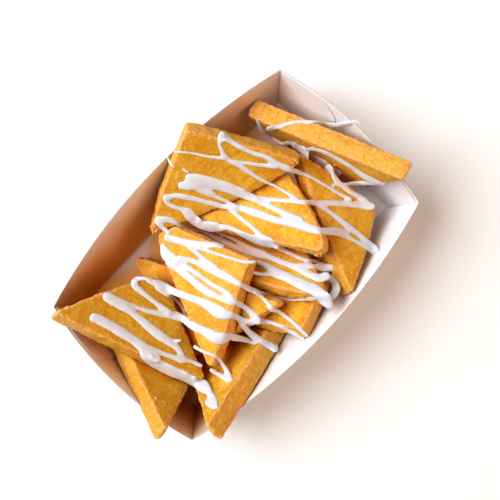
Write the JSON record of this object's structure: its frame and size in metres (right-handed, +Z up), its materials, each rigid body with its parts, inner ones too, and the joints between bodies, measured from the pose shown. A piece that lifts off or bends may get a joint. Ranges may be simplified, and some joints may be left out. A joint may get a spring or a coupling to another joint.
{
  "type": "tray of nachos",
  "caption": "Open white paperboard food tray with bowed rims, heaped with thick golden triangular corn chips; its flat base rests on a table.",
  "frame": {"origin": "middle of the tray's underside", "axes": "+X along the tray's length, +Y across it, +Z up"},
  "size_m": [0.1859, 0.1225, 0.0614],
  "materials": {
    "paperboard": "white, smooth, matt",
    "chip_crust": null
  },
  "bodies": {
    "root": {"tray": "paperboard", "chip_back_top": "chip_crust", "chip_front_top": "chip_crust", "chip_middle": "chip_crust", "chip_back_upright": "chip_crust", "chip_front_left": "chip_crust", "chip_right_edge": "chip_crust", "chip_under_front": "chip_crust", "chip_front_corner": "chip_crust", "chip_under_middle": "chip_crust", "chip_side_wall": "chip_crust", "chip_front_right": "chip_crust"}
  },
  "joints": []
}
